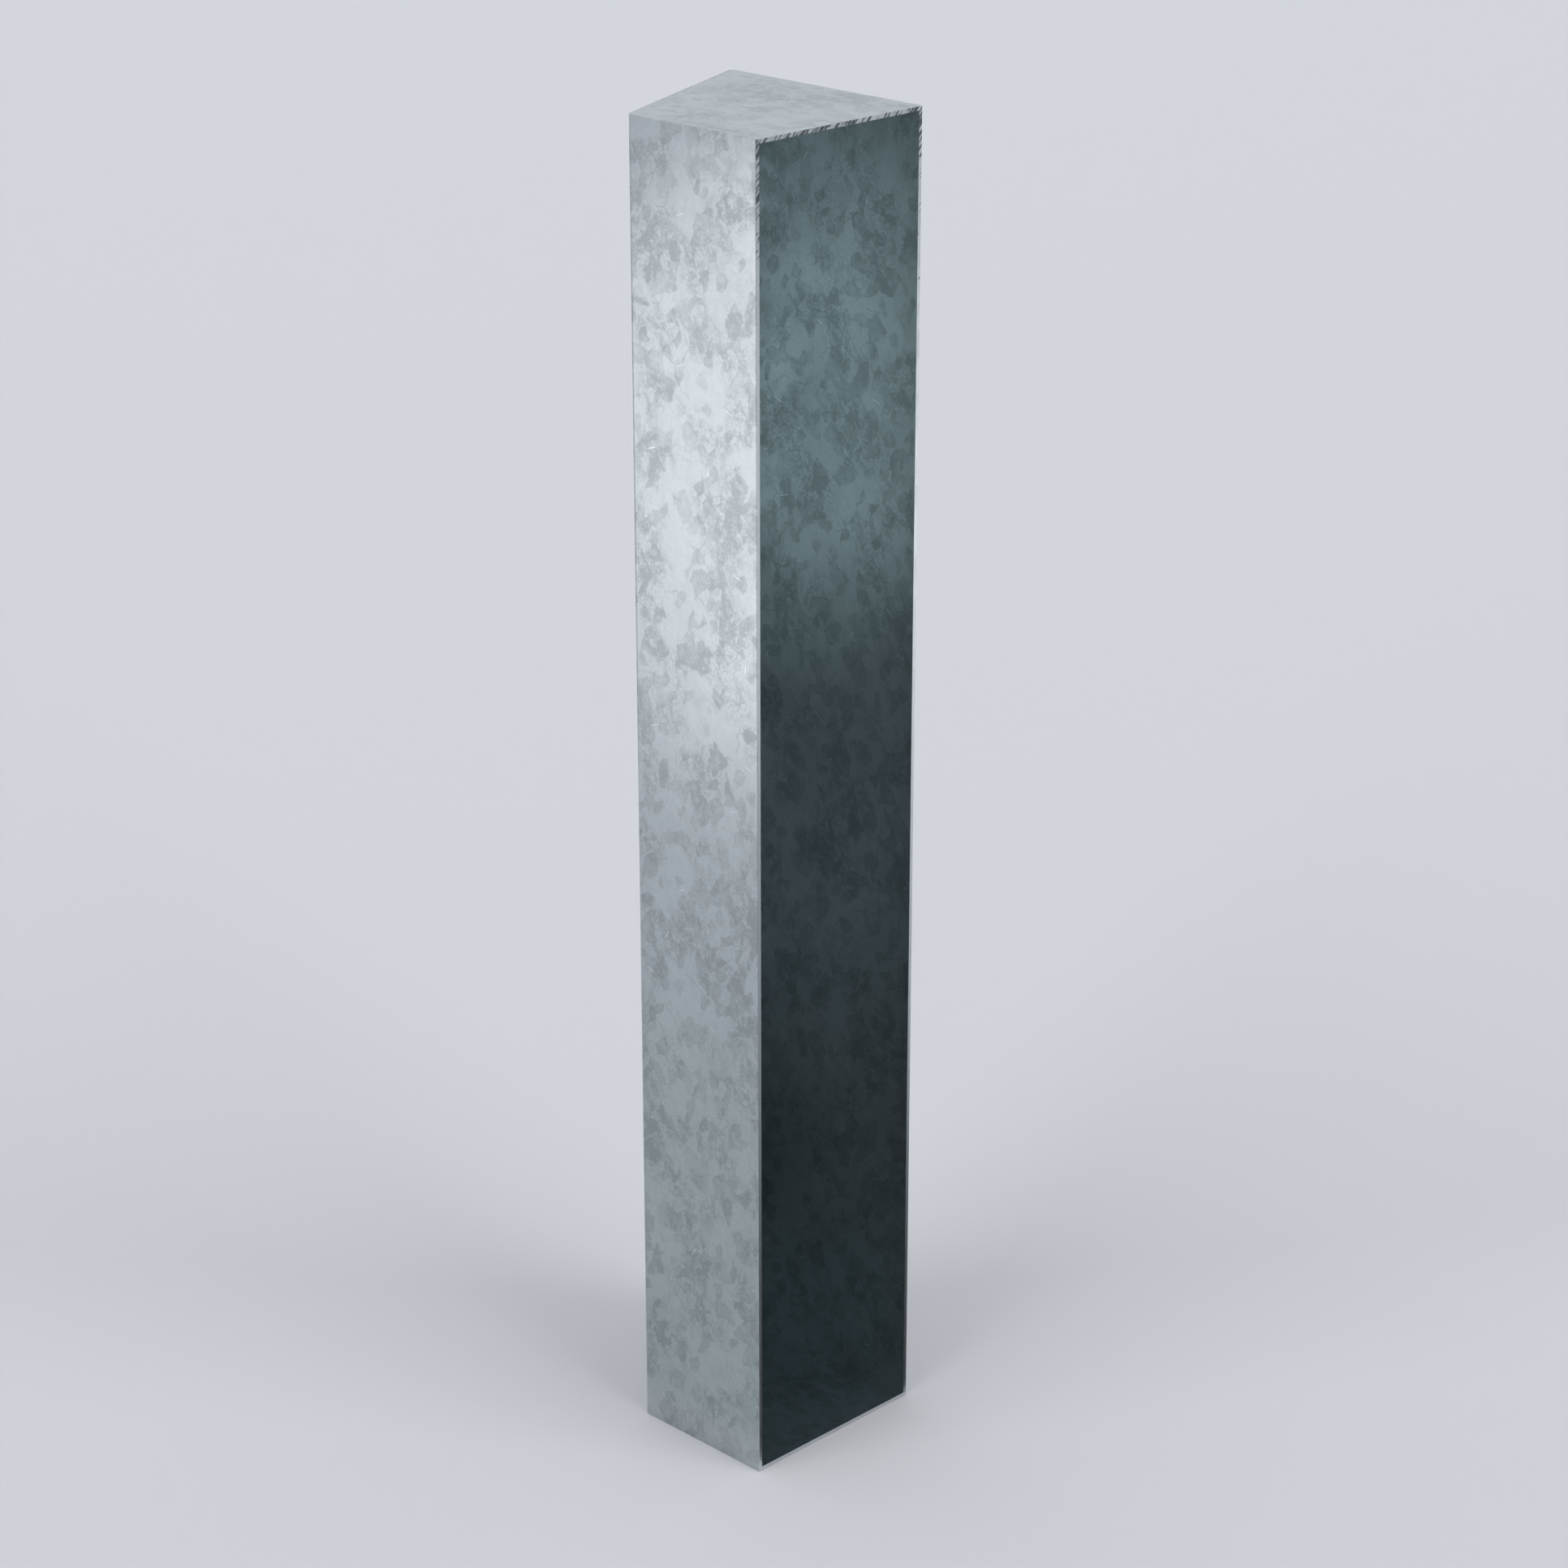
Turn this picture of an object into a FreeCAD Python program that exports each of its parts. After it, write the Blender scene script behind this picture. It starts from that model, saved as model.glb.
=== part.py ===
import FreeCAD, Part
import math
import os

# A free-standing steel pillar that carries a sign: a tall right-trapezoid box with one open side.
# One sheet, bent twice, makes the left, back and right walls. A lid and a base plate of the same
# sheet sit inside the walls, and each is held by three groove welds that are ground flush.
#
# Millimetres, +Z up. The open side faces -Y. The origin is the centre of the bounding box's base.
# The section from above, open between F and R:
#
#                            B
#                     .      |
#              L             |
#              |             |
#              F             R

Vector = FreeCAD.Vector

# Driving dimensions
HEIGHT = 1250.0            # overall height
WIDTH = 200.0              # across the open side, F to R
LEFT_DEPTH = 153.0         # short left wall, F to L
RIGHT_DEPTH = 233.0        # long right wall, R to B, measured to the sharp corner
SHEET = 4.0                # sheet thickness, the same for the walls and the plates
BEND_INSIDE_RADIUS = 1.0   # tight press-brake bends at L and B
EDGE_ROUND = 0.7           # outer edges broken before galvanising
WELD_LEG = 2.5             # groove weld: both legs of the bevel on a plate's edge

# Worked out from them
BEND_OUTSIDE_RADIUS = BEND_INSIDE_RADIUS + SHEET
BACK_SLOPE = math.atan2(RIGHT_DEPTH - LEFT_DEPTH, WIDTH)
HALF_ANGLE_AT_B = (math.pi / 2 - BACK_SLOPE) / 2
DEPTH_LOST_AT_B = BEND_OUTSIDE_RADIUS / math.tan(HALF_ANGLE_AT_B) - BEND_OUTSIDE_RADIUS
OVERALL_DEPTH = RIGHT_DEPTH - DEPTH_LOST_AT_B
FRONT_Y = -OVERALL_DEPTH / 2

# The four sharp corners of the outer section
CORNER_F = Vector(-WIDTH / 2, FRONT_Y, 0)
CORNER_L = Vector(-WIDTH / 2, FRONT_Y + LEFT_DEPTH, 0)
CORNER_B = Vector(WIDTH / 2, FRONT_Y + RIGHT_DEPTH, 0)
CORNER_R = Vector(WIDTH / 2, FRONT_Y, 0)

UP = Vector(0, 0, 1)
TINY = 1e-6


# ---- The section and its bends

def moved_line(start, end, distance):
    """The line from start to end, moved to its right by distance, as a point and a direction."""
    direction = (end - start).normalize()
    return start + direction.cross(UP) * distance, direction


def crossing(line_a, line_b):
    """The point where two lines in plan cross."""
    point_a, along_a = line_a
    point_b, along_b = line_b
    turn = along_a.cross(along_b).z
    return point_a + along_a * ((point_b - point_a).cross(along_b).z / turn)


def inset_corners(distance):
    """The corners F, L, B and R with the walls moved inwards by distance. F and R stay on the front."""
    front = (CORNER_F, Vector(1, 0, 0))
    left = moved_line(CORNER_F, CORNER_L, distance)
    back = moved_line(CORNER_L, CORNER_B, distance)
    right = moved_line(CORNER_B, CORNER_R, distance)
    return crossing(front, left), crossing(left, back), crossing(back, right), crossing(right, front)


def bend_points(before, corner, after, radius):
    """Start, middle and end of the arc that rounds a corner: tangent length is radius / tan(half angle)."""
    to_before = (before - corner).normalize()
    to_after = (after - corner).normalize()
    half_angle = to_before.getAngle(to_after) / 2
    tangent_length = radius / math.tan(half_angle)
    corner_to_arc = radius / math.sin(half_angle) - radius
    bisector = (to_before + to_after).normalize()
    return corner + to_before * tangent_length, corner + bisector * corner_to_arc, corner + to_after * tangent_length


def wall_path(distance, radius):
    """Edges from F round L and B to R, moved inwards by distance, with both bends at this radius."""
    f, l, b, r = inset_corners(distance)
    l_start, l_middle, l_end = bend_points(f, l, b, radius)
    b_start, b_middle, b_end = bend_points(l, b, r, radius)
    return [
        Part.LineSegment(f, l_start).toShape(),
        Part.Arc(l_start, l_middle, l_end).toShape(),
        Part.LineSegment(l_end, b_start).toShape(),
        Part.Arc(b_start, b_middle, b_end).toShape(),
        Part.LineSegment(b_end, r).toShape(),
    ]


def prism(edges, z_low, z_high):
    """A closed outline in plan, raised from z_low to z_high."""
    face = Part.Face(Part.Wire(Part.__sortEdges__(edges)))
    face.translate(UP * z_low)
    return face.extrude(UP * (z_high - z_low))


# ---- Broken edges

def front_edge_waste(z_face, inward):
    """What the round takes off the long front edge at z_face: a bar less a rod. inward is +1 up, -1 down."""
    low = min(z_face, z_face + inward * EDGE_ROUND)
    bar = Part.makeBox(2 * WIDTH, EDGE_ROUND, EDGE_ROUND, Vector(-WIDTH, FRONT_Y, low))
    rod_start = Vector(-WIDTH, FRONT_Y + EDGE_ROUND, z_face + inward * EDGE_ROUND)
    return bar.cut(Part.makeCylinder(EDGE_ROUND, 2 * WIDTH, rod_start, Vector(1, 0, 0)))


def break_front_edges(shape):
    """The shape with the upper and lower front edges rounded, where it has them."""
    return shape.cut(front_edge_waste(HEIGHT, -1)).cut(front_edge_waste(0, 1))


def on_outer_skin(edge, skin):
    """True if the middle of the edge, dropped to the floor, lies on the outer skin of the sheet."""
    middle = edge.valueAt((edge.FirstParameter + edge.LastParameter) / 2)
    dropped = Part.Vertex(Vector(middle.x, middle.y, 0))
    return skin.distToShape(dropped)[0] < TINY


# ---- The pieces

def folded_shell():
    """Left, back and right walls: one sheet with an open bend at L and an acute one at B."""
    outer = wall_path(0, BEND_OUTSIDE_RADIUS)
    inner = wall_path(SHEET, BEND_INSIDE_RADIUS)
    f, _, _, r = inset_corners(SHEET)
    cut_edges = [Part.LineSegment(CORNER_F, f).toShape(), Part.LineSegment(r, CORNER_R).toShape()]
    sheet = prism(outer + inner + cut_edges, 0, HEIGHT)
    skin = Part.Wire(outer)
    uprights = [e for e in sheet.Edges if e.Length > HEIGHT - TINY and e.BoundBox.YMax < FRONT_Y + TINY]
    rims = [e for e in sheet.Edges if e.BoundBox.ZLength < TINY]
    broken = [e for e in uprights + rims if on_outer_skin(e, skin)]
    return break_front_edges(sheet.makeFillet(EDGE_ROUND, broken))


def plate_blank(z_low):
    """A plate that fills the space between the walls, with its front edge flush with theirs."""
    f, _, _, r = inset_corners(SHEET)
    edges = wall_path(SHEET, BEND_INSIDE_RADIUS) + [Part.LineSegment(r, f).toShape()]
    return prism(edges, z_low, z_low + SHEET)


def wedge(start, end, end_inside, start_inside, z_face, z_root):
    """A weld's triangular bar: one face level at z_face, one on the wall, one sloping. Its ends are mitred."""
    a, b, b_in, a_in = [p + UP * z_face for p in (start, end, end_inside, start_inside)]
    a_root, b_root = start + UP * z_root, end + UP * z_root
    outlines = [
        (a, b, b_in, a_in),
        (a, a_root, b_root, b),
        (a_root, a_in, b_in, b_root),
        (a, a_in, a_root),
        (b, b_root, b_in),
    ]
    faces = [Part.Face(Part.makePolygon(outline + outline[:1])) for outline in outlines]
    solid = Part.Solid(Part.Shell(faces))
    solid.fixTolerance(TINY)
    if solid.Volume < 0:
        solid.reverse()
    return solid


def welded_plate(prefix, z_low, z_face, inward):
    """A plate with bevelled sides and its three weld runs, flush at z_face. inward is +1 up, -1 down."""
    blank = plate_blank(z_low)
    f, l, b, r = inset_corners(SHEET)
    f_in, l_in, b_in, r_in = inset_corners(SHEET + WELD_LEG)
    z_root = z_face + inward * WELD_LEG
    wedges = {
        "left": wedge(f, l, l_in, f_in, z_face, z_root),
        "back": wedge(l, b, b_in, l_in, z_face, z_root),
        "right": wedge(b, r, r_in, b_in, z_face, z_root),
    }
    pieces = {prefix + "_plate": break_front_edges(blank.cut(list(wedges.values())))}
    for side, bar in wedges.items():
        pieces[prefix + "_weld_" + side] = break_front_edges(bar.common(blank))
    return pieces


def pillar():
    """Every piece by name."""
    pieces = {"folded_shell": folded_shell()}
    pieces.update(welded_plate("top", HEIGHT - SHEET, HEIGHT, -1))
    pieces.update(welded_plate("base", 0, 0, 1))
    return pieces


def main():
    os.makedirs("parts", exist_ok=True)
    for name, shape in pillar().items():
        box = shape.optimalBoundingBox(False, False)
        spans = (box.XMin, box.XMax, box.YMin, box.YMax, box.ZMin, box.ZMax)
        print(name, len(shape.Solids), shape.isValid(), round(shape.Volume, 1), [round(v, 3) for v in spans])
        shape.exportStep("parts/%s.step" % name)


main()
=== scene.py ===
# %% [markdown]
# # A folded, hot-dip galvanised sign pillar
#
# The pillar is one 4 mm steel sheet, bent twice into a left wall, a slanted back wall and a right wall.
# A lid and a base plate are welded in between the walls, and the front stays open. After welding, the
# whole thing is dipped in molten zinc, which freezes into the flat crystals called spangle.
#
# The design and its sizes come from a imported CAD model. This lesson dresses it: it remakes the folded
# sheet as a smooth surface, and gives every piece a zinc finish that is worked out, not painted.

# %% Load the fixed frame
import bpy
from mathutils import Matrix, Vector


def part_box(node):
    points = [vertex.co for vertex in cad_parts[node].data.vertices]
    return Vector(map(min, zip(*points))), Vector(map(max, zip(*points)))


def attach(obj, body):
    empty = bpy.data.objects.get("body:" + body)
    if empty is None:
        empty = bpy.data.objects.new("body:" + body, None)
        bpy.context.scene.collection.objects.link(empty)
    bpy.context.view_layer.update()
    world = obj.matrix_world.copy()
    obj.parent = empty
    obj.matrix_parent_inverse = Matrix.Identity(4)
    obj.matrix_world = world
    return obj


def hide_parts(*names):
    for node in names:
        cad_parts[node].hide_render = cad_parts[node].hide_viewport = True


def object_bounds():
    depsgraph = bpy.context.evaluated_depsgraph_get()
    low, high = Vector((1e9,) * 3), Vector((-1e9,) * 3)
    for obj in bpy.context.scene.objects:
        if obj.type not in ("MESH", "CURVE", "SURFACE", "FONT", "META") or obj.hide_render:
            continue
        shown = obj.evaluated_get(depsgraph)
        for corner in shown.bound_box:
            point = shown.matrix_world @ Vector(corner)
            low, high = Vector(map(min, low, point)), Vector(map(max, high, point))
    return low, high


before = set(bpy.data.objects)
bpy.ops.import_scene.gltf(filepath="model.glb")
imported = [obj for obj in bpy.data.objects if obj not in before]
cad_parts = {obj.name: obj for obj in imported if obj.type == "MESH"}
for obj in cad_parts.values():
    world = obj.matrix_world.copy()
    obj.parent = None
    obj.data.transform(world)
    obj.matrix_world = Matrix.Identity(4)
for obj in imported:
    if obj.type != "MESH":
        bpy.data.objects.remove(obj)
cad_low, cad_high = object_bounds()
print("pieces in the frame:", sorted(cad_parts))

# %% Tools used in every cell
import math

import bpy
import bmesh
import numpy as np
from mathutils import Vector

print("Blender", bpy.app.version_string)

# %% [markdown]
# ## Sizes
#
# What can be measured on the frame is measured there: the height, the width and the sheet's thickness.
# The depth of the short wall and the two radii are the maker's own numbers, because no box shows them.

# %% Measure the frame
HEIGHT = cad_high.z - cad_low.z
FRONT_Y = cad_low.y
LEFT_X, RIGHT_X = cad_low.x, cad_high.x
SHEET = cad_high.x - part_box("top_plate")[1].x
LEFT_DEPTH = 0.153          # short left wall
RIGHT_DEPTH = 0.233         # long right wall, to the sharp corner of its bend
BEND_INSIDE_RADIUS = 0.001
EDGE_ROUND = 0.0007         # the broken outer edges
BEND_OUTSIDE_RADIUS = BEND_INSIDE_RADIUS + SHEET
print("height %.3f, width %.3f, sheet %.4f" % (HEIGHT, RIGHT_X - LEFT_X, SHEET))

# %% [markdown]
# ## The folded sheet
#
# A press brake folds a flat blank along two lines. The skin of such a sheet is a narrow profile, as thick
# as the sheet and as tall as the pillar, carried along the path that the walls take in plan. That is how
# it is made here: one grid, with stations along the path one way and points round the profile the other.
# A box with two cuts would leave facets at the bends, where the zinc shows its best highlights.

# %% Walls in plan
F = np.array([LEFT_X, FRONT_Y])
L = np.array([LEFT_X, FRONT_Y + LEFT_DEPTH])
B = np.array([RIGHT_X, FRONT_Y + RIGHT_DEPTH])
R = np.array([RIGHT_X, FRONT_Y])


def inward(start, end):
    """Unit vector a quarter turn clockwise from the way start to end: it points into the pillar."""
    along = (end - start) / np.linalg.norm(end - start)
    return np.array([along[1], -along[0]])


def bend_centre(corner, normal_before, normal_after, radius):
    """The point that is radius away from both walls: two plane equations, solved together."""
    return corner + np.linalg.solve(np.array([normal_before, normal_after]), [radius, radius])


def bend_stations(corner, normal_before, normal_after, count):
    """Outer skin of a bend: centre minus radius times a normal that turns evenly from wall to wall."""
    centre = bend_centre(corner, normal_before, normal_after, BEND_OUTSIDE_RADIUS)
    first = math.atan2(normal_before[1], normal_before[0])
    turn = math.acos(float(np.dot(normal_before, normal_after)))
    angle = first - np.linspace(0, turn, count)
    normals = np.stack([np.cos(angle), np.sin(angle)], axis=1)
    return centre - BEND_OUTSIDE_RADIUS * normals, normals


def wall_stations(start, end, normal, spacing):
    """Evenly spaced points on a flat wall, without its two ends."""
    count = max(2, int(np.linalg.norm(end - start) / spacing))
    share = np.linspace(0, 1, count + 1)[1:-1, None]
    points = start + (end - start) * share
    return points, np.repeat(normal[None, :], len(points), axis=0)


print("wall lengths:", [round(float(np.linalg.norm(b - a)), 3) for a, b in ((F, L), (L, B), (B, R))])

# %% The path, from one cut edge to the other
STATION_SPACING = 0.012
ROUND_STEPS = 6
quarter = np.linspace(0, math.pi / 2, ROUND_STEPS)
into_edge = EDGE_ROUND * (1 - np.cos(quarter))      # how far along the wall each step of the round lies
skin_inset = EDGE_ROUND * (1 - np.sin(quarter))     # how far the outer skin is drawn in there

n_left, n_back, n_right = inward(F, L), inward(L, B), inward(B, R)
bend_l, bend_l_normals = bend_stations(L, n_left, n_back, 12)
bend_b, bend_b_normals = bend_stations(B, n_back, n_right, 18)
left_end = F + np.array([0, 1.0]) * into_edge[:, None]
right_end = (R + np.array([0, 1.0]) * into_edge[:, None])[::-1]

pieces_of_path = [
    (left_end, np.repeat(n_left[None, :], ROUND_STEPS, axis=0)),
    wall_stations(left_end[-1], bend_l[0], n_left, STATION_SPACING),
    (bend_l, bend_l_normals),
    wall_stations(bend_l[-1], bend_b[0], n_back, STATION_SPACING),
    (bend_b, bend_b_normals),
    wall_stations(bend_b[-1], right_end[0], n_right, STATION_SPACING),
    (right_end, np.repeat(n_right[None, :], ROUND_STEPS, axis=0)),
]
path = np.concatenate([points for points, _ in pieces_of_path])
path_normals = np.concatenate([normals for _, normals in pieces_of_path])
path_inset = np.zeros(len(path))
path_inset[:ROUND_STEPS] = skin_inset
path_inset[-ROUND_STEPS:] = skin_inset[::-1]
path_length = np.concatenate([[0], np.cumsum(np.linalg.norm(np.diff(path, axis=0), axis=1))])
print("stations along the path:", len(path), "over", round(float(path_length[-1]), 4), "m")

# %% The sheet's own profile
ROW_SPACING = 0.025
heights = np.linspace(EDGE_ROUND, HEIGHT - EDGE_ROUND, int(HEIGHT / ROW_SPACING) + 1)


def sheet_profile(inset):
    """Depth into the sheet and height, round its section: sole, round, outer skin, round, rim, inner skin.
    Near a cut edge the outer skin, sole and rim are drawn in by inset, and their rounds shrink as much."""
    radius = EDGE_ROUND - inset
    low, high = EDGE_ROUND, HEIGHT - EDGE_ROUND
    lower_round = (low - radius * np.sin(quarter), low - radius * np.cos(quarter))
    upper_round = (low - radius * np.cos(quarter), high + radius * np.sin(quarter))
    inner_rows = np.concatenate([[high + radius], heights[::-1], [low - radius]])
    depth = np.concatenate([lower_round[0], np.full(len(heights) - 2, inset), upper_round[0],
                            np.full(len(inner_rows), SHEET)])
    height = np.concatenate([lower_round[1], heights[1:-1], upper_round[1], inner_rows])
    return depth, height


profiles = [sheet_profile(inset) for inset in path_inset]
depth = np.stack([p[0] for p in profiles])
height = np.stack([p[1] for p in profiles])
print("points round the profile:", depth.shape[1])

# %% [markdown]
# ## From a grid of numbers to a mesh
#
# The grid becomes corners at once: each corner is the path's point plus its depth times the inward
# normal, lifted to its height. Neighbouring stations and profile points share a quad. The two cut edges
# are closed with a ladder of quads between the outer and the inner skin.
#
# The UV map unrolls the sheet like the blank it was cut from: U runs along the path and V round the
# section. A pattern that reads it goes round the bends without a break, as spangle does.

# %% Corners, quads and the unrolled map
corners = np.empty(depth.shape + (3,))
corners[..., :2] = path[:, None, :] + depth[..., None] * path_normals[:, None, :]
corners[..., 2] = height
stations, around = depth.shape
profile_steps = np.hypot(np.diff(depth, axis=1), np.diff(height, axis=1))
plain = stations // 3                               # a station on flat wall, to measure V on
round_section = np.concatenate([[0], np.cumsum(profile_steps[plain]), [0]])
round_section[-1] = round_section[-2] + SHEET - EDGE_ROUND

i, j = np.meshgrid(np.arange(stations - 1), np.arange(around), indexing="ij")
j_next = (j + 1) % around
here, ahead = i * around, (i + 1) * around
quads = np.stack([here + j, ahead + j, ahead + j_next, here + j_next], axis=-1)
quad_u = np.stack([path_length[i], path_length[i + 1], path_length[i + 1], path_length[i]], axis=-1)
quad_v = np.stack([round_section[j], round_section[j], round_section[j + 1], round_section[j + 1]], axis=-1)

rows = len(heights)
outer_row = ROUND_STEPS - 1 + np.arange(rows)       # from the foot up, on the outer skin
inner_row = around - 2 - np.arange(rows)            # from the foot up, on the inner skin
ladder = np.stack([outer_row[:-1], outer_row[1:], inner_row[1:], inner_row[:-1]], axis=-1)
ladder_v = round_section[np.stack([outer_row[:-1], outer_row[1:], outer_row[1:], outer_row[:-1]], axis=-1)]
across = np.array([0, 0, SHEET, SHEET])
caps = [ladder, (ladder + (stations - 1) * around)[:, ::-1]]
cap_u = [np.tile(-across, (rows - 1, 1)), np.tile(path_length[-1] + across[::-1], (rows - 1, 1))]
cap_v = [ladder_v, ladder_v[:, ::-1]]

faces = np.concatenate([quads.reshape(-1, 4)] + caps)
u = np.concatenate([quad_u.reshape(-1, 4)] + cap_u)
v = np.concatenate([quad_v.reshape(-1, 4)] + cap_v)
print("corners:", corners.shape[0] * corners.shape[1], "faces:", len(faces))


# %% Make the sheet
SHARP_ANGLE = math.radians(30)
MERGE_DISTANCE = 1e-6


def mesh_from_arrays(name, points, face_corners, uv):
    """A mesh from an array of points, an array of quads and one UV pair for each quad's corner."""
    mesh = bpy.data.meshes.new(name)
    mesh.from_pydata(points.reshape(-1, 3).tolist(), [], face_corners.tolist())
    layer = mesh.uv_layers.new(name="unrolled")
    layer.data.foreach_set("uv", uv.reshape(-1).astype(np.float32))
    work = bmesh.new()
    work.from_mesh(mesh)
    bmesh.ops.remove_doubles(work, verts=work.verts, dist=MERGE_DISTANCE)
    bmesh.ops.recalc_face_normals(work, faces=work.faces)
    work.to_mesh(mesh)
    volume = work.calc_volume(signed=True)
    work.free()
    mesh.shade_smooth()
    mesh.set_sharp_from_angle(angle=SHARP_ANGLE)
    return mesh, volume


shell_mesh, shell_volume = mesh_from_arrays("folded_sheet", corners, faces, np.stack([u, v], axis=-1))
folded_sheet = bpy.data.objects.new("folded_sheet", shell_mesh)
bpy.context.scene.collection.objects.link(folded_sheet)
weighted = folded_sheet.modifiers.new("flats_lead", "WEIGHTED_NORMAL")
weighted.keep_sharp = True
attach(folded_sheet, "root")
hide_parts("folded_shell")
print("steel in the sheet: %.1f cubic centimetres" % (shell_volume * 1e6))

# %% [markdown]
# ## Zinc spangle
#
# Molten zinc freezes from many seeds at once. Each crystal spreads until it meets the next, so the coat
# is a mosaic of leaf-shaped patches, some dull and some bright, with fine lines where they meet. Voronoi
# cells grow the same way. Bending the coordinates first with soft noise gives the cells curved sides.
#
# An image of zinc would repeat and would have to be fitted to each wall. A pattern that is worked out
# from the sheet's own coordinates has no seams, and each of its parts can be set by a size in metres.

# %% Nodes, sums and soft steps


def add(tree, kind, inputs=None, **settings):
    """A node of this kind, with its settings, and its inputs linked from sockets or set to values."""
    made = tree.nodes.new(kind)
    for name, value in settings.items():
        setattr(made, name, value)
    for key, value in (inputs or {}).items():
        if isinstance(value, bpy.types.NodeSocket):
            tree.links.new(value, made.inputs[key])
        else:
            made.inputs[key].default_value = value
    return made


def maths(tree, operation, first, second=0.0, third=0.0):
    """One sum on numbers or sockets."""
    return add(tree, "ShaderNodeMath", {0: first, 1: second, 2: third}, operation=operation).outputs[0]


def ramp_up(tree, value, start, end, low=0.0, high=1.0):
    """A number that goes smoothly from low to high as value goes from start to end."""
    limits = {"From Min": start, "From Max": end, "To Min": low, "To Max": high}
    made = add(tree, "ShaderNodeMapRange", {"Value": value, **limits}, interpolation_type="SMOOTHSTEP")
    return made.outputs["Result"]


def blend_colour(tree, share, first, second):
    """First colour where share is 0, second where it is 1."""
    return add(tree, "ShaderNodeMix", {0: share, 6: first, 7: second}, data_type="RGBA").outputs[2]


print("node helpers:", [helper.__name__ for helper in (add, maths, ramp_up, blend_colour)])

# %% Coordinates that are turned, counted in cells, or bent


def placed(tree, vector, turn, size, shift):
    """The coordinates moved, turned in the plane of the sheet, then counted in cells of this size."""
    made = add(tree, "ShaderNodeMapping", {"Vector": vector}, vector_type="TEXTURE")
    made.inputs["Location"].default_value = (shift, shift, 0.0)
    made.inputs["Rotation"].default_value = (0.0, 0.0, turn)
    made.inputs["Scale"].default_value = (size[0], size[1], 1.0)
    return made.outputs["Vector"]


def bent(tree, vector, patch, amount):
    """The coordinates pushed about by soft noise: patch is the size of the bends, amount their depth."""
    noise = add(tree, "ShaderNodeTexNoise", {"Vector": vector, "Scale": 1 / patch, "Detail": 1.0})
    centred = add(tree, "ShaderNodeVectorMath", {0: noise.outputs["Color"], 1: (0.5, 0.5, 0.5)},
                  operation="SUBTRACT").outputs[0]
    pushed = add(tree, "ShaderNodeVectorMath", {0: centred, 1: (amount, amount, 0.0)},
                 operation="MULTIPLY").outputs[0]
    return add(tree, "ShaderNodeVectorMath", {0: vector, 1: pushed}, operation="ADD").outputs[0]


BENDS = {                               # size of the bends and their depth, in metres
    "leaves, wide": (0.022, 0.013),
    "leaves, fine": (0.005, 0.0036),
    "litter, wide": (0.008, 0.006),
    "litter, fine": (0.0022, 0.0014),
    "scratches": (0.03, 0.004),
}
print("bends in mm:", {name: round(1000 * row[0], 1) for name, row in BENDS.items()})

# %% [markdown]
# ## The parts of the pattern
#
# Leaves are the cells of a Voronoi pattern, and only a share of them is dull. Outlines are the lines
# between such cells. Masks are soft patches of noise that say where something happens. Scratches are the
# hearts of cells that are thirty millimetres long and less than two wide.

# %% Leaves, outlines, masks and scratches
LEAF_SHAPE = (0.85, 1.20)       # width and height of a leaf, as shares of its size
OUTLINE_SHAPE = (0.85, 1.25)    # the same for a cell between outlines
LEAF_SOFTNESS = 0.07            # how much neighbouring cells blend
SHARE_SOFTNESS = 0.05           # over how much of the share a cell goes from dull to bright
PALEST_LEAF = 0.45              # of a dull cell's full strength, which each draws for itself
SCRATCH_CELL = (0.0016, 0.030)  # metres
SCRATCH_HEART = (0.10, 0.26)    # from the cell's seed, in cells: fully scratched, and no longer


def leaves(tree, vector, size, share, lean, shift):
    """Darkness of one size of crystal: a share of the Voronoi cells, each with its own strength."""
    flat = placed(tree, vector, lean, (LEAF_SHAPE[0] * size, LEAF_SHAPE[1] * size), shift)
    cells = add(tree, "ShaderNodeTexVoronoi", {"Vector": flat, "Scale": 1.0, "Smoothness": LEAF_SOFTNESS},
                voronoi_dimensions="2D", feature="SMOOTH_F1")
    parts = add(tree, "ShaderNodeSeparateColor", {"Color": cells.outputs["Color"]})
    chosen = ramp_up(tree, parts.outputs[0], share, share + SHARE_SOFTNESS, 1.0, 0.0)
    strength = maths(tree, "MULTIPLY_ADD", parts.outputs[1], 1 - PALEST_LEAF, PALEST_LEAF)
    return maths(tree, "MULTIPLY", chosen, strength)


def outlines(tree, vector, size, width, lean, shift):
    """Fine dark lines where crystals of this size meet, width being a share of the size."""
    flat = placed(tree, vector, lean, (OUTLINE_SHAPE[0] * size, OUTLINE_SHAPE[1] * size), shift)
    edges = add(tree, "ShaderNodeTexVoronoi", {"Vector": flat, "Scale": 1.0}, voronoi_dimensions="2D",
                feature="DISTANCE_TO_EDGE")
    return ramp_up(tree, edges.outputs["Distance"], 0.0, width, 1.0, 0.0)


def where(tree, vector, scale, start, end, detail=2.0):
    """A soft mask of patches: noise of this scale, cut between start and end."""
    noise = add(tree, "ShaderNodeTexNoise", {"Vector": vector, "Scale": scale, "Detail": detail})
    return ramp_up(tree, noise.outputs["Fac"], start, end)


def scratches(tree, vector, turn, share, shift):
    """Short fine scratches, all lying one way: the hearts of a few very long, narrow cells."""
    flat = placed(tree, vector, turn, SCRATCH_CELL, shift)
    cells = add(tree, "ShaderNodeTexVoronoi", {"Vector": flat, "Scale": 1.0}, voronoi_dimensions="2D")
    parts = add(tree, "ShaderNodeSeparateColor", {"Color": cells.outputs["Color"]})
    chosen = maths(tree, "LESS_THAN", parts.outputs[0], share)
    heart = ramp_up(tree, cells.outputs["Distance"], *SCRATCH_HEART, 1.0, 0.0)
    return maths(tree, "MULTIPLY", chosen, heart)


print("pattern parts:", [part.__name__ for part in (leaves, outlines, where, scratches)])

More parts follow.
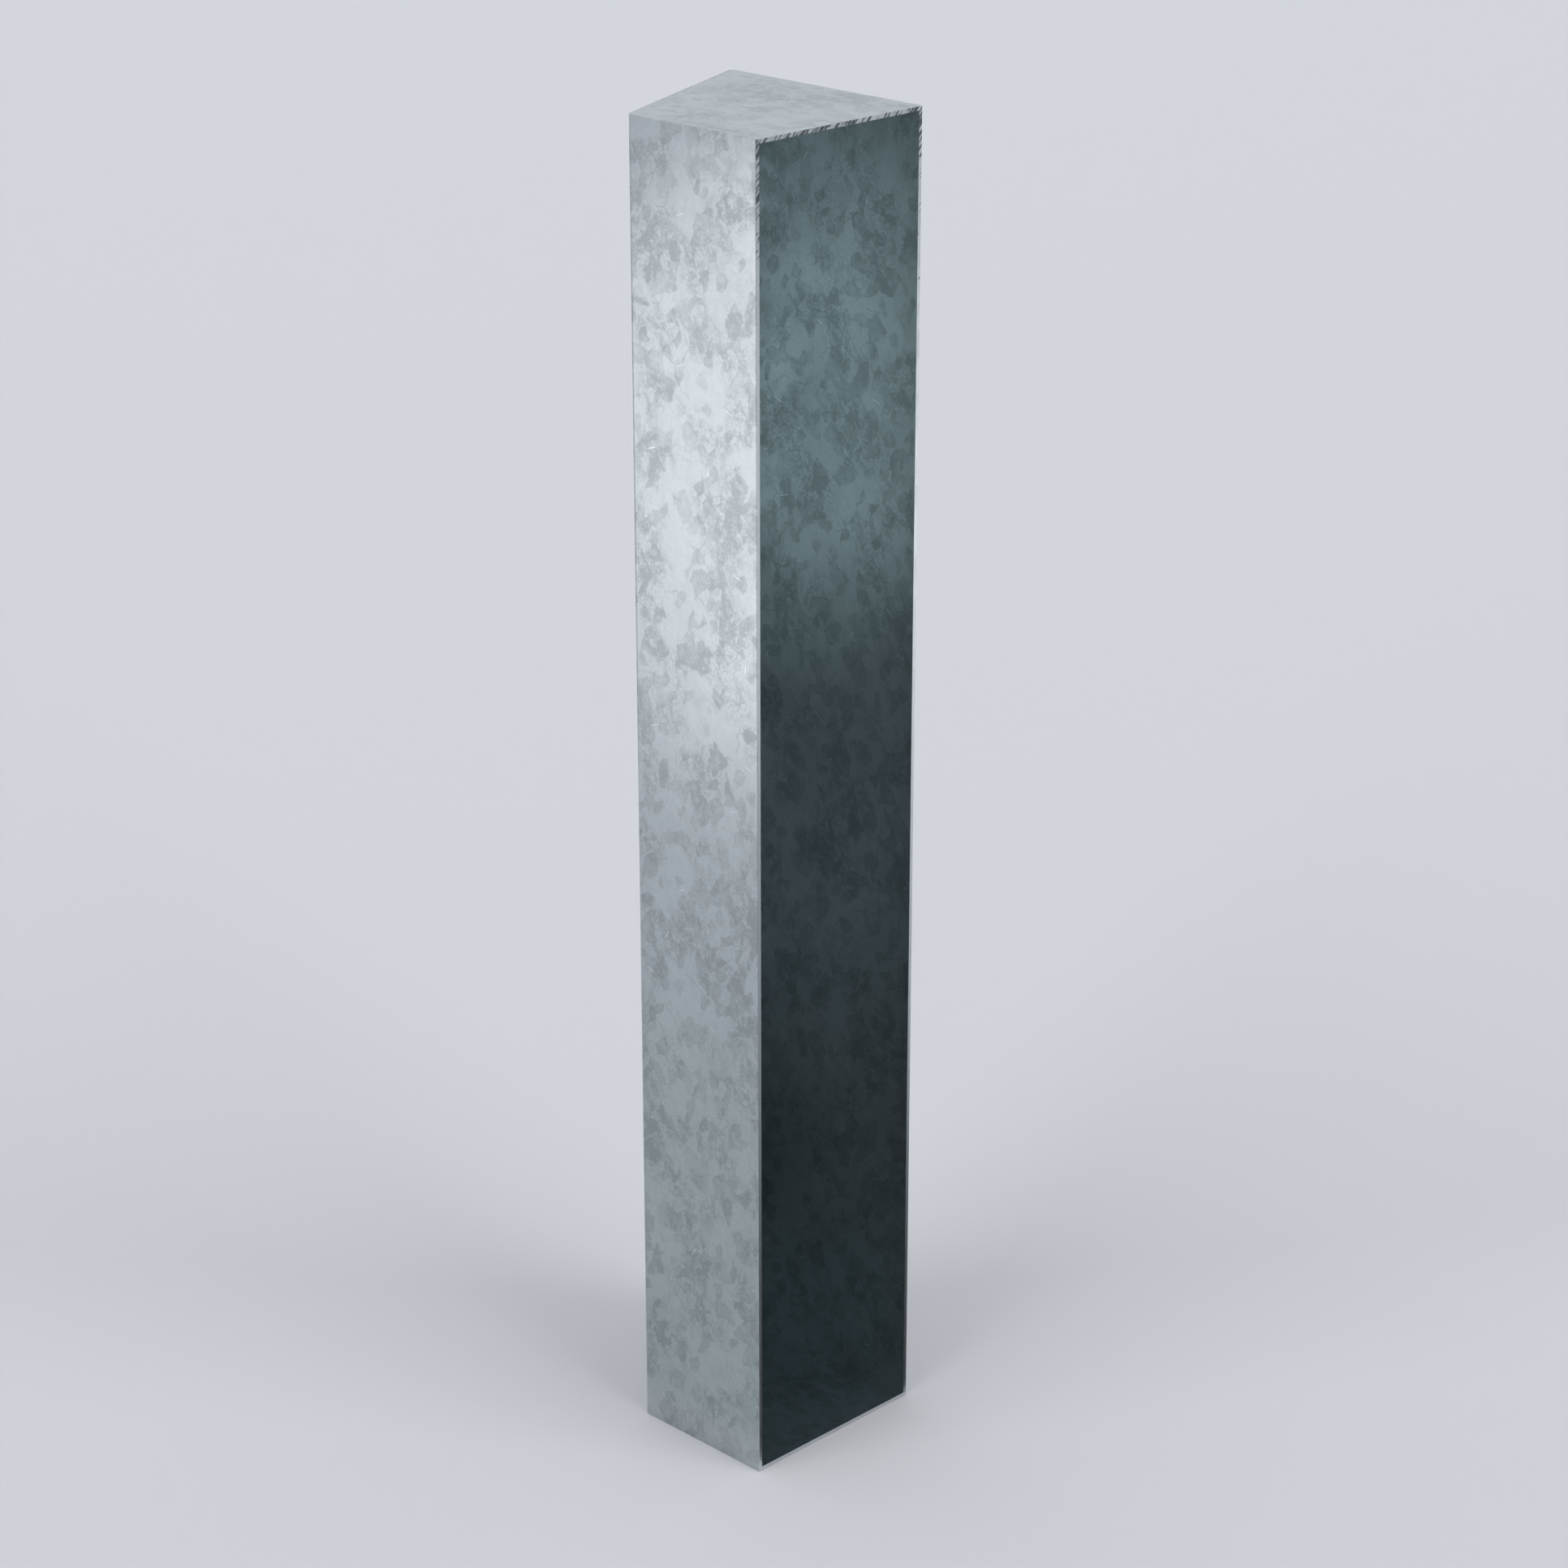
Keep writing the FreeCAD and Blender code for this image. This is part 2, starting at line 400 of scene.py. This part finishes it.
# %% [markdown]
# ## How dull the zinc is
#
# Two sizes of whole leaf lie over each other. Between them the coat is crumbled: a fine litter of cells,
# their seams and a grain, strong in some patches and faint in others. Here and there a vein runs between
# large crystals, and a wide, faint cloud shades it all. Together they make one number, the darkness.

# %% Sizes and weights of the layers
CRYSTALS = {                            # size in metres, share that is dull, lean, shift
    "broad": (0.020, 0.11, 0.0, 0.0),
    "small": (0.0115, 0.23, 0.25, 4.1),
    "litter": (0.0062, 0.50, -0.4, 9.7),
}
LINES = {                               # size of the crystals in metres, width, lean, shift
    "seams": (0.0075, 0.16, 0.2, 2.6),
    "veins": (0.034, 0.035, 0.3, 7.3),
}
MASKS = {                               # patches per metre, start, end, and detail if it isn't 2
    "mottle": (150.0, 0.30, 0.62),
    "grain": (340.0, 0.30, 0.70),
    "crumbled": (17.0, 0.42, 0.60),
    "veined": (30.0, 0.52, 0.60, 1.0),
    "cloud": (7.0, 0.35, 0.70, 3.0),
    "scuffed": (20.0, 0.50, 0.62),
}
LITTER_WEIGHT, SEAM_WEIGHT, GRAIN_WEIGHT = 0.46, 0.22, 0.42     # inside the crumbled zinc
VEIN_WEIGHT, CLOUD_WEIGHT = 0.42, 0.16                          # over everything
LEAF_WEIGHT, LEAF_MOTTLE = 0.30, 0.32           # a whole leaf at its palest, and what its mottle adds
CRUMB_WEIGHT, CRUMB_PATCHES = 0.26, 0.74        # crumbled zinc everywhere, and what its patches add
print("crystal sizes in mm:", {name: round(1000 * row[0], 1) for name, row in CRYSTALS.items()})


# %% The darkness
def darkness(tree, vector, strength):
    """How dull the zinc is here, from 0 to 1: leaves, crumbled patches, veins and cloud, added up."""
    curved = bent(tree, bent(tree, vector, *BENDS["leaves, wide"]), *BENDS["leaves, fine"])
    ragged = bent(tree, bent(tree, vector, *BENDS["litter, wide"]), *BENDS["litter, fine"])
    broad = leaves(tree, curved, *CRYSTALS["broad"])
    small = leaves(tree, curved, *CRYSTALS["small"])
    mottled = maths(tree, "MULTIPLY_ADD", where(tree, vector, *MASKS["mottle"]), LEAF_MOTTLE, LEAF_WEIGHT)
    whole = maths(tree, "MULTIPLY", maths(tree, "MAXIMUM", broad, small), mottled)
    litter = leaves(tree, ragged, *CRYSTALS["litter"])
    seams = outlines(tree, ragged, *LINES["seams"])
    loose = maths(tree, "MULTIPLY_ADD", litter, LITTER_WEIGHT, maths(tree, "MULTIPLY", seams, SEAM_WEIGHT))
    loose = maths(tree, "MULTIPLY_ADD", where(tree, vector, *MASKS["grain"]), GRAIN_WEIGHT, loose)
    crumbled = where(tree, vector, *MASKS["crumbled"])
    crumbled = maths(tree, "MULTIPLY_ADD", crumbled, CRUMB_PATCHES, CRUMB_WEIGHT)
    total = maths(tree, "MULTIPLY_ADD", loose, crumbled, whole)
    veins = outlines(tree, curved, *LINES["veins"])
    veins = maths(tree, "MULTIPLY", veins, where(tree, vector, *MASKS["veined"]))
    total = maths(tree, "MULTIPLY_ADD", veins, VEIN_WEIGHT, total)
    total = maths(tree, "MULTIPLY_ADD", where(tree, vector, *MASKS["cloud"]), CLOUD_WEIGHT, total)
    return maths(tree, "MINIMUM", maths(tree, "MULTIPLY", total, strength), 1.0)


print("the darkness adds up:", list(CRYSTALS) + list(LINES) + ["grain", "cloud"])

# %% [markdown]
# ## Cut edges
#
# A laser cut is harder and rougher than the rolled skin. The edges round the opening are painted brighter
# than the walls, a painted highlight, and towards the top they carry slanting dark flecks, the traces
# of the beam. They all lie in the front plane, so a point's depth alone tells whether it is on one.

# %% Flecks on the cut edges
CUT_BAND = 0.0001               # how near the front plane a point counts as on a cut edge
FLECK_SCALE = 260.0             # bands per metre
FLECK_STRETCH = 0.12            # how slowly they change along their own length
FLECK_PATCHES = (9.0, 0.20, 0.12)   # patches per metre, their depth, and the least level
FLECKS_START = 0.80 * HEIGHT    # below this height only the strongest flecks show
FLECKS_AT_TOP = 0.30            # what the height adds to the level at the lid
FLECK_STEP = (-0.05, 0.02)      # from full fleck to none


def cut_edge_flecks(tree, position):
    """Slanting dark flecks, thickest near the top: bands across the edge, broken up by noise."""
    axes = add(tree, "ShaderNodeSeparateXYZ", {0: position})
    x, z = axes.outputs[0], axes.outputs[2]
    across = maths(tree, "ADD", maths(tree, "MULTIPLY", x, -1.0), z)
    along = maths(tree, "MULTIPLY", maths(tree, "ADD", x, z), FLECK_STRETCH)
    slant = add(tree, "ShaderNodeCombineXYZ", {0: across, 1: 0.0, 2: along})
    noise = add(tree, "ShaderNodeTexNoise", {"Vector": slant.outputs[0], "Scale": FLECK_SCALE, "Detail": 2.0})
    scale, depth_of_patches, least = FLECK_PATCHES
    patches = add(tree, "ShaderNodeTexNoise", {"Vector": position, "Scale": scale, "Detail": 1.0})
    level = maths(tree, "MULTIPLY_ADD", patches.outputs["Fac"], depth_of_patches, least)
    level = maths(tree, "ADD", level, ramp_up(tree, z, FLECKS_START, HEIGHT, 0.0, FLECKS_AT_TOP))
    return ramp_up(tree, maths(tree, "SUBTRACT", noise.outputs["Fac"], level), *FLECK_STEP, 1.0, 0.0)


print("flecks begin at %.2f m" % FLECKS_START)

# %% [markdown]
# ## One recipe, three finishes
#
# The sheet, the plates and the ground welds share one zinc recipe, with different strengths. The metal's
# colour is a cool grey with a trace of green, which deepens where light bounces from wall to wall inside.
# Dull zinc is darker and a little rougher. A few scratches are brighter, and the cut edges are painted
# brighter, a painted highlight.

# %% Colours and roughness
BRIGHT_ZINC = (0.540, 0.592, 0.602, 1.0)
DULL_ZINC = (0.360, 0.400, 0.411, 1.0)
# Pale colour of the scratches, and of the painted highlight on the cut edges.
SCRATCH_AND_EDGE_HIGHLIGHT_ZINC = (0.86, 0.88, 0.89, 1.0)
FLECK_ZINC = (0.16, 0.17, 0.18, 1.0)
ROLLED, GROUND = 0.28, 0.34             # roughness of rolled and of ground steel under its zinc
DULL_ROUGHNESS = 0.06                   # added where the zinc is dull
CUT_ROUGHNESS = 0.12                    # added on cut edges
# Painted highlight along the cut edges: how far their colour is pushed towards the pale scratch colour.
CUT_EDGE_PAINTED_HIGHLIGHT = 0.60                   # how far a cut edge's colour goes towards a scratch's
SCUFFS = 0.005                          # share of the cells that are scratched, in each direction
SCRATCH_DIRECTIONS = ((0.55, 1.3), (-0.65, 5.7), (1.25, 8.9), (-1.2, 3.3), (0.1, 6.1))   # turn, shift
COAT_SCALE = 55.0                       # waves of the coat, per metre
COAT_RELIEF, COAT_DEPTH = 0.10, 0.001   # strength of the waves, and their depth in metres
DULL_SINK = -0.25                       # how far dull zinc lies below the waves, as a share of them
print("bright zinc:", BRIGHT_ZINC[:3], "dull zinc:", DULL_ZINC[:3])


# %% The zinc recipe
def scuffed(tree, flat, share):
    """Scratches in all directions, gathered in a few patches."""
    wavy = bent(tree, flat, *BENDS["scratches"])
    marks = 0.0
    for turn, shift in SCRATCH_DIRECTIONS:
        marks = maths(tree, "MAXIMUM", marks, scratches(tree, wavy, turn, share, shift))
    return maths(tree, "MULTIPLY", marks, where(tree, flat, *MASKS["scuffed"]))


def zinc(name, unrolled, strength, roughness, scuffs):
    """A galvanised finish. unrolled says whether the pattern reads the sheet's own map or plain position."""
    material = bpy.data.materials.new(name)
    material.use_nodes = True
    tree = material.node_tree
    shader = tree.nodes["Principled BSDF"]
    coordinates = add(tree, "ShaderNodeTexCoord")
    position = coordinates.outputs["Object"]
    flat = coordinates.outputs["UV"] if unrolled else position
    dull = darkness(tree, flat, strength)
    colour = blend_colour(tree, dull, BRIGHT_ZINC, DULL_ZINC)
    colour = blend_colour(tree, scuffed(tree, flat, scuffs), colour, SCRATCH_AND_EDGE_HIGHLIGHT_ZINC)
    rough = maths(tree, "MULTIPLY_ADD", dull, DULL_ROUGHNESS, roughness)
    axes = add(tree, "ShaderNodeSeparateXYZ", {0: position})
    on_cut = maths(tree, "LESS_THAN", axes.outputs[1], FRONT_Y + CUT_BAND)
    fleck = maths(tree, "MULTIPLY", cut_edge_flecks(tree, position), on_cut)
    # Painted highlight: the cut edges are blended towards the pale scratch colour.
    colour = blend_colour(tree, maths(tree, "MULTIPLY", on_cut, CUT_EDGE_PAINTED_HIGHLIGHT), colour, SCRATCH_AND_EDGE_HIGHLIGHT_ZINC)
    colour = blend_colour(tree, fleck, colour, FLECK_ZINC)
    rough = maths(tree, "MULTIPLY_ADD", on_cut, CUT_ROUGHNESS, rough)
    tree.links.new(colour, shader.inputs["Base Color"])
    tree.links.new(rough, shader.inputs["Roughness"])
    shader.inputs["Metallic"].default_value = 1.0
    coat = add(tree, "ShaderNodeTexNoise", {"Vector": flat, "Scale": COAT_SCALE, "Detail": 2.0})
    relief = maths(tree, "MULTIPLY_ADD", dull, DULL_SINK, coat.outputs["Fac"])
    bump = add(tree, "ShaderNodeBump", {"Height": relief, "Strength": COAT_RELIEF, "Distance": COAT_DEPTH})
    tree.links.new(bump.outputs["Normal"], shader.inputs["Normal"])
    return material


sheet_zinc = zinc("sheet_zinc", True, 1.0, ROLLED, SCUFFS)
plate_zinc = zinc("plate_zinc", False, 0.75, ROLLED, SCUFFS)
weld_zinc = zinc("weld_zinc", False, 0.3, GROUND, 0.0)
print("finishes:", [m.name for m in (sheet_zinc, plate_zinc, weld_zinc)])


# %% Dress the pieces
def dress(piece, material):
    """Puts one material in every slot of a piece."""
    if not piece.material_slots:
        piece.data.materials.append(material)
    for slot in piece.material_slots:
        slot.material = material


dress(folded_sheet, sheet_zinc)
for name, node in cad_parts.items():
    if name.endswith("_plate"):
        dress(node, plate_zinc)
    elif "_weld_" in name:
        dress(node, weld_zinc)
print("dressed:", len(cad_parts), "nodes")

# %% [markdown]
# ## The studio
#
# A pale floor that curves up into a wall all round, so that no horizon shows from any side, under an even
# sky of pale grey. A surface of revolution does this from every direction with one profile.

# %% Floor that rises into a wall
FLOOR_RADIUS, WALL_RADIUS, WALL_HEIGHT = 14.0, 20.0, 8.0
PAPER = (0.46, 0.463, 0.485, 1.0)


def round_cove(flat_radius, wall_radius, wall_height, sides=128, steps=24):
    """Floor and wall as one surface of revolution: a flat disc, a quarter ellipse, then straight up."""
    bend = np.linspace(0, math.pi / 2, steps)
    reach = wall_radius - flat_radius
    radii = np.concatenate([[0.001, 1.0, 3.0, 5.0], flat_radius + reach * np.sin(bend), [wall_radius]])
    rise = np.concatenate([np.zeros(4), reach * (1 - np.cos(bend)), [wall_height]])
    angles = np.linspace(0, 2 * math.pi, sides, endpoint=False)
    ring = np.stack([np.cos(angles), np.sin(angles)], axis=-1)
    lifted = np.broadcast_to(rise[:, None, None], (len(radii), sides, 1))
    points = np.concatenate([radii[:, None, None] * ring[None], lifted], axis=-1)
    a, b = np.meshgrid(np.arange(len(radii) - 1) * sides, np.arange(sides), indexing="ij")
    b_next = (b + 1) % sides
    face_corners = np.stack([a + b, a + sides + b, a + sides + b_next, a + b_next], axis=-1)
    return points.reshape(-1, 3), face_corners.reshape(-1, 4)


def matt(name, colour, roughness):
    """A dull material of one colour."""
    material = bpy.data.materials.new(name)
    material.use_nodes = True
    shader = material.node_tree.nodes["Principled BSDF"]
    shader.inputs["Base Color"].default_value = colour
    shader.inputs["Roughness"].default_value = roughness
    return material


cove_points, cove_faces = round_cove(FLOOR_RADIUS, WALL_RADIUS, WALL_HEIGHT)
cove_mesh = bpy.data.meshes.new("studio_cove")
cove_mesh.from_pydata(cove_points.tolist(), [], cove_faces.tolist())
cove_mesh.shade_smooth()
studio_cove = bpy.data.objects.new("studio_cove", cove_mesh)
bpy.context.scene.collection.objects.link(studio_cove)
paper = matt("studio_paper", PAPER, 0.9)
paper.node_tree.nodes["Principled BSDF"].inputs["Specular IOR Level"].default_value = 0.1
dress(studio_cove, paper)
print("cove faces:", len(cove_faces))

# %% Sky
SKY_COLOUR, SKY_STRENGTH = (0.93, 0.95, 1.0, 1.0), 0.92
scene = bpy.context.scene
scene.world = bpy.data.worlds.new("studio_sky")
scene.world.use_nodes = True
sky = scene.world.node_tree.nodes["Background"]
sky.inputs["Color"].default_value = SKY_COLOUR
sky.inputs["Strength"].default_value = SKY_STRENGTH
scene.view_settings.view_transform = "Standard"
print("sky:", scene.world.name)

# %% [markdown]
# ## Keys: light for the floor
#
# Bright metal shows what stands round it more than the light that falls on it, so two kinds of light are
# kept apart. The keys are soft suns. They light the floor evenly and throw the soft shadows, and the
# metal doesn't mirror them.

# %% Two keys


def aimed(name, data, place, aim):
    """An object at a place, turned so that its -Z looks at the aim, and hidden from the camera."""
    holder = bpy.data.objects.new(name, data)
    holder.location = place
    holder.rotation_euler = (Vector(aim) - Vector(place)).to_track_quat("-Z", "Y").to_euler()
    holder.visible_camera = False
    scene.collection.objects.link(holder)
    return holder


def key(name, place, strength, spread):
    """Soft light from far away, even over the floor. The spread is the sun's width in degrees."""
    lamp = bpy.data.lights.new(name, "SUN")
    lamp.energy = strength
    lamp.angle = math.radians(spread)
    aimed(name, lamp, place, (0, 0, 0)).visible_glossy = False


key("left_key", (-3.8, 0.3, 2.3), 1.95, 46)
key("right_key", (0.6, -3.8, 2.3), 2.15, 46)

# %% [markdown]
# ## Cards and flags: what the metal mirrors
#
# Cards are bright and flags are dark, and both are seen by the metal only. A card beside the short wall
# makes its upper half shine, and one in front gives the inside its paler top. The flags in front of the
# opening and on the floor keep the rest of the inside dark, and a paler one shades the short wall's foot.

# %% Bright cards


def card(name, place, aim, size, radiance, colour, spread):
    """A bright oval card that only the metal sees. A lamp's power is pi x width x height x radiance."""
    lamp = bpy.data.lights.new(name, "AREA")
    lamp.shape = "ELLIPSE"
    lamp.size, lamp.size_y = size
    lamp.energy = math.pi * size[0] * size[1] * radiance
    lamp.color = colour
    lamp.spread = math.radians(spread)
    aimed(name, lamp, place, aim).visible_diffuse = False


card("left_card", (-0.60, 0.265, 0.785), (-0.1, -0.065, 0.785), (0.58, 0.70), 0.62, (1.0, 0.95, 0.965), 180)
card("right_card", (0.85, -0.95, 0.54), (0.0, -0.1, 0.54), (1.0, 0.46), 1.0, (1.0, 0.96, 0.97), 180)
card("front_card", (0.0, -0.40, 0.845), (0.0, 0.0, 0.97), (0.46, 0.47), 0.115, (0.85, 1.0, 1.0), 70)

# %% Dark flags


def flag(name, place, aim, size, colour):
    """A dark rectangle that only the metal sees."""
    across, up = size[0] / 2, size[1] / 2
    rectangle = [(-across, -up, 0), (across, -up, 0), (across, up, 0), (-across, up, 0)]
    mesh = bpy.data.meshes.new(name)
    mesh.from_pydata(rectangle, [], [(0, 1, 2, 3)])
    mesh.materials.append(matt(name, (*colour, 1.0), 1.0))
    holder = aimed(name, mesh, place, aim)
    holder.visible_diffuse = False
    holder.visible_shadow = False


flag("front_flag", (0.08, -0.46, 0.74), (0.08, 0.0, 0.74), (0.70, 1.32), (0.30, 0.355, 0.37))
flag("low_flag", (0.08, -0.46, 0.04), (0.08, 0.0, 0.04), (0.70, 0.08), (0.008, 0.01, 0.012))
flag("floor_flag", (0.27, -0.66, 0.004), (0.27, -0.66, 1.0), (0.72, 1.1), (0.21, 0.25, 0.26))
flag("side_flag", (-0.45, 0.35, 0.004), (-0.45, 0.35, 1.0), (0.64, 0.95), (0.37, 0.395, 0.40))
flag("foot_flag", (0.25, -0.40, 0.006), (0.25, -0.40, 1.0), (0.68, 0.56), (0.008, 0.01, 0.012))

# %% [markdown]
# ## A wash for one wall
#
# Neither key reaches the wall behind the left key, and it would look grey in a view from the right. A wide
# lamp low on the floor, turned up at that wall, evens it out. Its limited spread spares the floor.

# %% Wall wash
wash = bpy.data.lights.new("wall_wash", "AREA")
wash.shape = "RECTANGLE"
wash.size, wash.size_y = 24.0, 6.0
wash.energy = 1700.0
wash.spread = math.radians(100)
aimed("wall_wash", wash, (-9.0, 0.0, 0.5), (-20.0, 0.0, 8.2)).visible_glossy = False
print("wash: %.0f W on %.0f square metres" % (wash.energy, wash.size * wash.size_y))

# %% [markdown]
# ## The camera
#
# It looks at the edge between the short wall and the open side, from above, so that the lid, the wall and
# the inside all show. A long lens keeps the uprights nearly parallel.

# %% Camera
LENS = 89.4
EYE = Vector((LEFT_X - 1.776 * HEIGHT, FRONT_Y - 1.791 * HEIGHT, 1.522 * HEIGHT))
LOOK_DOWN = math.radians(21.09)
TURN = math.radians(-45.18)

camera_data = bpy.data.cameras.new("camera")
camera_data.lens = LENS
camera = bpy.data.objects.new("camera", camera_data)
camera.location = EYE
camera.rotation_euler = (math.pi / 2 - LOOK_DOWN, 0.0, TURN)
camera_data.clip_end = 100.0
scene.collection.objects.link(camera)
scene.camera = camera
print("camera at", [round(c, 2) for c in camera.location])
